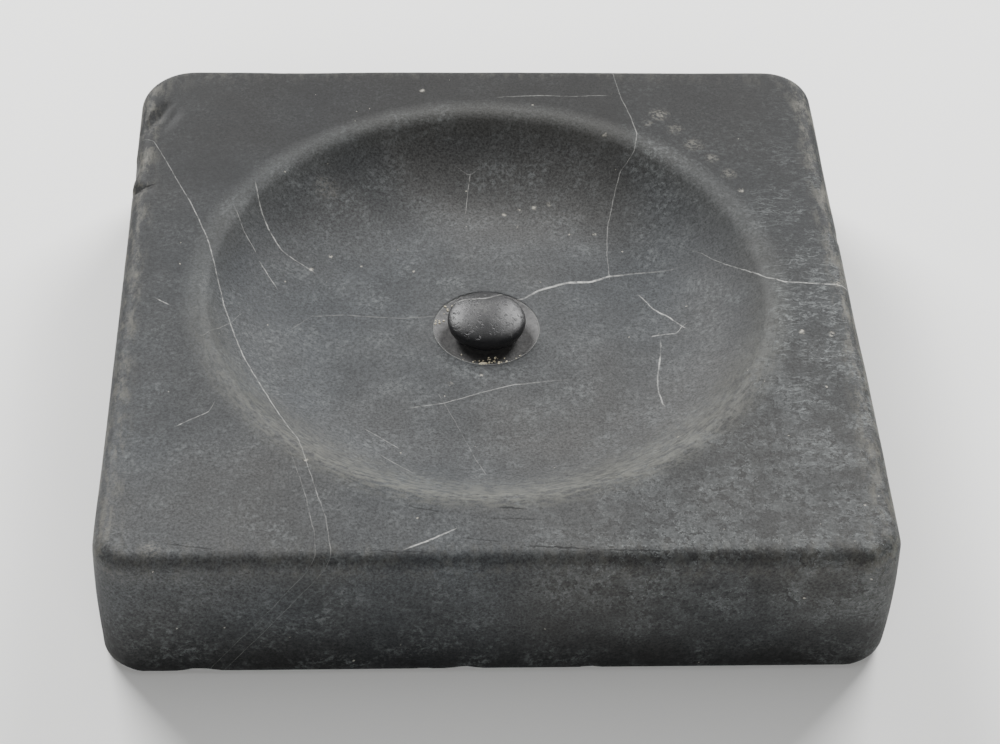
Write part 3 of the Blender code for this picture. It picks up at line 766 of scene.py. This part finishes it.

    # rubbed lip of the dish, with a painted highlight along it: paler and warmer, with fine rings left by
    # grinding
    around = putNode(tree, maths, [part.outputs["Y"], part.outputs["X"]], operation="ARCTAN2")
    aroundSine = putNode(tree, maths, [around], operation="SINE")
    aroundCosine = putNode(tree, maths, [around], operation="COSINE")
    ringStep = putNode(tree, maths, [fromAxis, 1 / (0.5 * mm)], operation="MULTIPLY")
    ringSine = putNode(tree, maths, [aroundSine, 22.0], operation="MULTIPLY")
    ringCosine = putNode(tree, maths, [aroundCosine, 22.0], operation="MULTIPLY")
    ringPlace = putNode(tree, joinPlace, [ringSine, ringCosine, ringStep])
    rings = putNode(
        tree, noise,
        {"Vector": ringPlace, "Scale": 1.0, "Detail": 4.0, "Roughness": 0.65, "Distortion": 0.3})
    ringLight = putNode(tree, mapRange, [rings, 0.41, 0.60, 0.05, 1.15])
    frontness = putNode(tree, mapRange, [aroundSine, -0.70, 0.0, 1.0, 0.12])
    ringLight = putNode(tree, maths, [ringLight, 0.6], operation="SUBTRACT")
    ringLight = putNode(tree, maths, [ringLight, frontness, 0.6], operation="MULTIPLY_ADD")
    lipStart = putNode(tree, mapRange, [frontness, 0.0, 1.0, 36 * mm, 29 * mm])
    lipInner = putNode(
        tree, mapRange, [fromAxis, lipStart, 38.4 * mm, 0.0, 1.0], interpolation_type="SMOOTHSTEP")
    lipOuter = putNode(
        tree, mapRange, [fromAxis, 38.8 * mm, 42.5 * mm, 1.0, 0.0], interpolation_type="SMOOTHSTEP")
    lipFront = putNode(tree, mapRange, [aroundSine, -1.0, 0.2, 1.0, 0.28])
    dishTop = putNode(tree, mapRange, [part.outputs["Z"], 13.4 * mm, 15 * mm, 0.0, 0.62])
    lip = lipInner
    for factor in (lipOuter, lipFront, ringLight, dishTop):
        lip = putNode(tree, maths, [lip, factor], operation="MULTIPLY")

    # rubbed arrises, with a painted highlight along the left arris: broken pale patches, strongest at the
    # left
    arrisWearAndHighlight = putNode(tree, "ShaderNodeAttribute", attribute_name="arrisWearAndHighlight").outputs["Fac"]
    scuffPlace = putNode(tree, vectors, [smallWarp, (1.0, 0.30, 1.0)], operation="MULTIPLY")
    scuffAndHighlight = putNode(
        tree, noise, {"Vector": scuffPlace, "Scale": 1 / (1.3 * mm), "Detail": 6.0, "Roughness": 0.75})
    scuffAndHighlight = putNode(tree, mapRange, [scuffAndHighlight, 0.47, 0.68, 0.0, 0.9])
    leftWearAndHighlight = putNode(tree, mapRange, [part.outputs["X"], -44 * mm, -48 * mm, 0.0, 0.75])
    rightWear = putNode(tree, mapRange, [part.outputs["X"], 45 * mm, 49 * mm, 0.25, 1.1])
    sideWearAndHighlight = putNode(tree, maths, [leftWearAndHighlight, rightWear], operation="MAXIMUM")
    for factor in (arrisWearAndHighlight, sideWearAndHighlight):
        scuffAndHighlight = putNode(tree, maths, [scuffAndHighlight, factor], operation="MULTIPLY")

    # tool marks, crumbs, tiny specks, veins and the pale line of the seam
    gouge = markGouges(tree, smallWarp)
    speck = putNode(
        tree, "ShaderNodeTexVoronoi", {"Vector": smallWarp, "Scale": 1 / (2.0 * mm)}, feature="F1")
    pick = putNode(tree, "ShaderNodeSeparateColor", [speck.outputs["Color"]])
    reach = putNode(tree, mapRange, [pick.outputs[0], 0.78, 1.0, 0.0, 0.085])
    dot = putNode(tree, maths, [speck.outputs["Distance"], reach], operation="LESS_THAN")
    dot = putNode(tree, maths, [dot, 0.55], operation="MULTIPLY")
    ragged = putNode(
        tree, noise, {"Vector": place, "Scale": 1 / (0.55 * mm), "Detail": 5.0, "Roughness": 0.75})
    ragged = putNode(tree, mapRange, [ragged, 0.46, 0.58, 0.0, 1.2])
    spots = putNode(tree, maths, [markSpots(tree, smallWarp), ragged], operation="MULTIPLY")
    dot = putNode(tree, maths, [dot, spots], operation="MAXIMUM")
    vein = putNode(tree, "ShaderNodeGroup", node_tree=veinTree).outputs["Vein"]
    seam = putNode(tree, maths, [fromAxis, slabSizes["seamRadius"]], operation="SUBTRACT")
    seam = putNode(tree, maths, [seam], operation="ABSOLUTE")
    seam = putNode(tree, mapRange, [seam, 0.02 * mm, 0.12 * mm, 0.40, 0.0])
    pale = putNode(tree, maths, [seam, vein], operation="MAXIMUM")
    # each finish lies over the one before
    for share, finish in (
        (lip, "lip"), (scuffAndHighlight, "scuffAndHighlight"), (gouge, "toolMark"), (dot, "crumb"), (pale, "vein")):
        color = putNode(tree, mixer, {0: share, 6: color, 7: hexColor(look[finish])}, data_type="RGBA")
        color = color.outputs[2]
    tree.links.new(color, shader.inputs["Base Color"])
    shader.inputs["Roughness"].default_value = look["roughness"]
    shader.inputs["Specular IOR Level"].default_value = look["specular"]

    # shallow relief under the light: grain, islands, rings and tool marks
    relief = putNode(tree, maths, [grain, 0.5, islands], operation="MULTIPLY_ADD")
    ringRelief = putNode(tree, maths, [rings, lip], operation="MULTIPLY")
    relief = putNode(tree, maths, [ringRelief, 2.0, relief], operation="MULTIPLY_ADD")
    relief = putNode(tree, maths, [relief, gouge], operation="SUBTRACT")
    bump = putNode(tree, "ShaderNodeBump", {"Strength": 0.8, "Distance": 0.04 * mm, "Height": relief})
    tree.links.new(bump.outputs[0], shader.inputs["Normal"])
    return stone


knobLook = {
    "stone": "#1F1F20",
    "mark": "#444443",  # worn mark on the crown
    "roughness": 0.41,
    "specular": 0.38,
}


def rubbedBasalt(veinTree):
    # the same basalt, rubbed to a low polish: nearly black, with broad soft highlights
    stone, tree, shader = newMaterial("rubbedBasalt")
    place = putNode(tree, "ShaderNodeTexCoord").outputs["Object"]
    grain = putNode(
        tree, noise, {"Vector": place, "Scale": 1 / (0.3 * mm), "Detail": 4.0, "Roughness": 0.8})
    shade = putNode(tree, mapRange, [grain, 0.3, 0.7, 0.65, 1.35])
    color = putNode(tree, vectors, {0: hexColor(knobLook["stone"])[:3], 3: shade}, operation="SCALE")
    # a worn, mottled mark on the crown
    crownMark = putNode(
        tree, vectors, [place, (-0.5 * mm, 1.0 * mm, 16.6 * mm)], operation="DISTANCE").outputs["Value"]
    crownMark = putNode(tree, mapRange, [crownMark, 0.8 * mm, 1.7 * mm, 1.0, 0.0])
    mottle = putNode(
        tree, noise, {"Vector": place, "Scale": 1 / (0.45 * mm), "Detail": 2.0, "Distortion": 1.0})
    mottle = putNode(tree, mapRange, [mottle, 0.42, 0.52, 0.0, 0.7])
    crownMark = putNode(tree, maths, [crownMark, mottle], operation="MULTIPLY")
    color = putNode(tree, mixer, {0: crownMark, 6: color, 7: hexColor(knobLook["mark"])}, data_type="RGBA")
    vein = putNode(tree, "ShaderNodeGroup", node_tree=veinTree).outputs["Vein"]
    color = putNode(
        tree, mixer, {0: vein, 6: color.outputs[2], 7: hexColor(stoneLook["vein"])}, data_type="RGBA")
    tree.links.new(color.outputs[2], shader.inputs["Base Color"])
    pits = putNode(tree, noise, {"Vector": place, "Scale": 1 / (0.8 * mm), "Detail": 4.0, "Roughness": 0.7})
    pits = putNode(tree, mapRange, [pits, 0.56, 0.64, 0.0, -1.2])
    grain = putNode(tree, maths, [grain, pits], operation="ADD")
    bump = putNode(tree, "ShaderNodeBump", {"Strength": 0.9, "Distance": 0.03 * mm, "Height": grain})
    tree.links.new(bump.outputs[0], shader.inputs["Normal"])
    shader.inputs["Roughness"].default_value = knobLook["roughness"]
    shader.inputs["Specular IOR Level"].default_value = knobLook["specular"]
    return stone


beddingLook = {
    "dark": "#2B2B2C",  # the sand of the binder, from dark to light
    "light": "#4C4B4A",
    "grainDark": "#A39A82",  # the loose grains, from dark to light
    "grainLight": "#DDD5BC",
    "roughness": 0.6,
}


def gritBedding():
    # stone grit in a binder: the slab's own grey, sandy and slightly brown, so that it hardly shows
    grit, tree, shader = newMaterial("gritBedding")
    place = putNode(tree, "ShaderNodeTexCoord").outputs["Object"]
    sand = putNode(
        tree, noise, {"Vector": place, "Scale": 1 / (0.4 * mm), "Detail": 5.0, "Roughness": 0.75})
    shade = putNode(tree, mapRange, [sand, 0.32, 0.68, 0.0, 1.0])
    color = putNode(
        tree, mixer, {0: shade, 6: hexColor(beddingLook["dark"]), 7: hexColor(beddingLook["light"])},
        data_type="RGBA")
    pale = putNode(tree, "ShaderNodeAttribute", attribute_name="pale").outputs["Fac"]
    tint = putNode(
        tree, mixer,
        {0: shade, 6: hexColor(beddingLook["grainDark"]), 7: hexColor(beddingLook["grainLight"])},
        data_type="RGBA")
    color = putNode(tree, mixer, {0: pale, 6: color.outputs[2], 7: tint.outputs[2]}, data_type="RGBA")
    tree.links.new(color.outputs[2], shader.inputs["Base Color"])
    bump = putNode(tree, "ShaderNodeBump", {"Strength": 0.6, "Distance": 0.05 * mm, "Height": sand})
    tree.links.new(bump.outputs[0], shader.inputs["Normal"])
    shader.inputs["Roughness"].default_value = beddingLook["roughness"]
    return grit


studio = {
    "cameraPlace": (-0.0134, -0.2476, 0.2422),
    "cameraTurn": (46.27, -1.63, -2.03),
    "lens": 87.6,
    "tableColor": "#FCFCFA",
    "air": 0.34,  # a little light from everywhere
}
lamps = {  # place, size and power of each soft box, and if polished stone mirrors it; all face the stone
    "leftSoftBox": ((-0.43, 0.72, 0.55), (0.45, 0.42), 17.8, True),
    "rightSoftBox": ((0.46, 0.70, 0.55), (0.45, 0.42), 15.8, True),
    "upperSoftBox": ((0.0, 0.15, 1.35), (1.2, 1.2), 5.0, False),
    "frontSoftBox": ((0.0, -1.20, 0.60), (1.4, 0.5), 11.5, False),
}


def buildStudio():
    camera = bpy.data.objects.new("camera", bpy.data.cameras.new("camera"))
    camera.location = studio["cameraPlace"]
    camera.rotation_euler = [math.radians(turn) for turn in studio["cameraTurn"]]
    camera.data.lens = studio["lens"]
    camera.data.sensor_width = 36.0
    camera.data.clip_start = 0.01
    bpy.context.scene.collection.objects.link(camera)
    bpy.context.scene.camera = camera
    for name, (place, span, power, mirrored) in lamps.items():
        light = bpy.data.lights.new(name, "AREA")
        light.shape = "RECTANGLE"
        light.size, light.size_y = span
        light.energy = power
        lamp = bpy.data.objects.new(name, light)
        lamp.location = place
        lamp.visible_glossy = mirrored
        lamp.rotation_euler = (-Vector(place)).to_track_quat("-Z", "Y").to_euler()
        bpy.context.scene.collection.objects.link(lamp)
    world = bpy.data.worlds.new("studioAir")
    world.use_nodes = True
    bpy.context.scene.world = world
    world.node_tree.nodes["Background"].inputs["Strength"].default_value = studio["air"]
    # matt emulsion, so that the table mirrors nothing
    paint, tree, shader = newMaterial("mattWhiteTable")
    shader.inputs["Base Color"].default_value = hexColor(studio["tableColor"])
    shader.inputs["Roughness"].default_value = 0.9
    bpy.ops.mesh.primitive_plane_add(size=8.0, location=(0.0, 0.0, slabLow.z - 0.02 * mm))
    table = bpy.context.object
    table.name = "paleTable"
    table.data.materials.append(paint)
    print("studio ready")


buildStudio()
veinTree = veinGroup()
pieces = {  # piece: its tree, sizes and material, then the CAD node and material slot that it stands for
    "dishedSlab": (slabTree, slabSizes, honedBasalt(veinTree), "stone_block", "honed_basalt"),
    "domedKnob": (knobTree, knobSizes, rubbedBasalt(veinTree), "massage_knob", "polished_basalt"),
    "beddingRing": (beddingTree, beddingSizes, gritBedding(), "bedding_ring", "grit_bedding"),
}
for name, (makeTree, pieceSizes, material, node, slot) in pieces.items():
    piece = growPiece(name, makeTree(pieceSizes, material), pieceSizes)
    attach(piece, "root")
    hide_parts(node)
